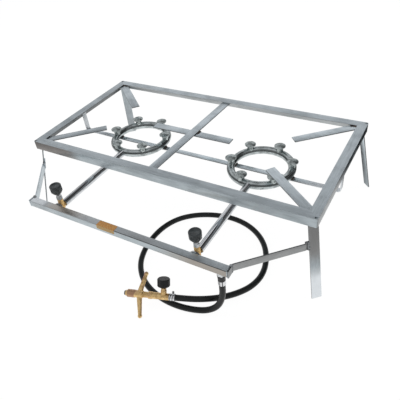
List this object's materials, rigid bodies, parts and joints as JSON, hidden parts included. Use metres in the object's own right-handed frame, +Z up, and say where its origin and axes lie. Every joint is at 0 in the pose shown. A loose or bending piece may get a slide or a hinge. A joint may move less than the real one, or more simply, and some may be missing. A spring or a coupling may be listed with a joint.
{
  "type": "stock pot range",
  "caption": "Low two-burner gas stock pot stand: welded angle frame on splayed legs, ring burners, gas rail with taps, hose and cylinder connector.",
  "frame": {"origin": "bottom centre of the stand, hose and connector left out: midway between the legs left to right, and midway between the front face of the gas rail and the back feet", "axes": "+X to the operator's right, +Y away from the operator towards the back rail, +Z up; the feet stand on z = 0"},
  "size_m": [0.9102, 0.7185, 0.222],
  "materials": {
    "zinc_steel": "dull zinc-plated flat and angle bar",
    "chrome_tube": "bright plated tube",
    "burner_steel": "darkened plated steel",
    "weld_metal": "dark raw weld bead",
    "tap_brass": "dull brass casting",
    "nickel_fitting": "nickel-plated fitting",
    "spindle_steel": "turned steel",
    "knob_plastic": "charcoal moulded plastic",
    "ferrule_black": "black moulded collar",
    "clamp_steel": "bright steel band",
    "hose_rubber": "smooth black rubber with a soft sheen",
    "connector_brass": "warm cast and turned brass",
    "seal_rubber": "moulded seal"
  },
  "bodies": {
    "stand": {"front_rail": "zinc_steel", "right_rail": "zinc_steel", "back_rail": "zinc_steel", "left_rail": "zinc_steel", "centre_divider": "zinc_steel", "mid_pot_bar": "zinc_steel", "pot_bar_front_left": "zinc_steel", "pot_bar_front_right": "zinc_steel", "pot_bar_back_left": "zinc_steel", "pot_bar_back_right": "zinc_steel", "leg_front_left": "zinc_steel", "leg_front_right": "zinc_steel", "leg_back_left": "zinc_steel", "leg_back_right": "zinc_steel", "burner_strap": "zinc_steel", "gas_rail": "zinc_steel", "gas_rail_caps": "zinc_steel", "rail_arm_left": "zinc_steel", "rail_arm_right": "zinc_steel", "burner_ring_left": "chrome_tube", "burner_ring_right": "chrome_tube", "mixing_tube_left": "chrome_tube", "mixing_tube_right": "chrome_tube", "burner_stems_left": "burner_steel", "burner_stems_right": "burner_steel", "burner_caps_left": "burner_steel", "burner_caps_right": "burner_steel", "bar_welds": "weld_metal", "burner_welds": "weld_metal", "arm_welds": "weld_metal", "tap_body_left": "tap_brass", "tap_body_right": "tap_brass", "tap_nut_left": "nickel_fitting", "tap_nut_right": "nickel_fitting", "tap_gland_left": "nickel_fitting", "tap_gland_right": "nickel_fitting", "hose_nipple": "nickel_fitting", "hose_ferrule": "ferrule_black", "nipple_clamp": "clamp_steel", "connector_clamp": "clamp_steel", "gas_hose": "hose_rubber", "connector_body": "connector_brass", "connector_gland": "connector_brass", "connector_seal": "seal_rubber"},
    "left_tap": {"tap_spindle_left": "spindle_steel", "tap_knob_left": "knob_plastic"},
    "right_tap": {"tap_spindle_right": "spindle_steel", "tap_knob_right": "knob_plastic"},
    "wing_nut": {"wing_nut": "connector_brass"},
    "connector_valve": {"connector_spindle": "spindle_steel", "connector_knob": "knob_plastic"}
  },
  "joints": [
    {"name": "left_tap_turn", "type": "hinge", "parent": "stand", "child": "left_tap", "pos_m": [-0.2065, -0.28291, 0.157], "axis": [0, 0, 1], "range_deg": [0, 90]},
    {"name": "right_tap_turn", "type": "hinge", "parent": "stand", "child": "right_tap", "pos_m": [0.2035, -0.28291, 0.157], "axis": [0, 0, 1], "range_deg": [0, 90]},
    {"name": "wing_nut_turn", "type": "hinge", "parent": "stand", "child": "wing_nut", "pos_m": [0.05934, -0.36127, 0.0255], "axis": [0.9484, 0.317, 0], "range_deg": [-24, 0]},
    {"name": "connector_valve_turn", "type": "hinge", "parent": "stand", "child": "connector_valve", "pos_m": [0.12325, -0.32679, 0.0489], "axis": [-0.1488, 0.4453, 0.8829], "continuous": true}
  ]
}
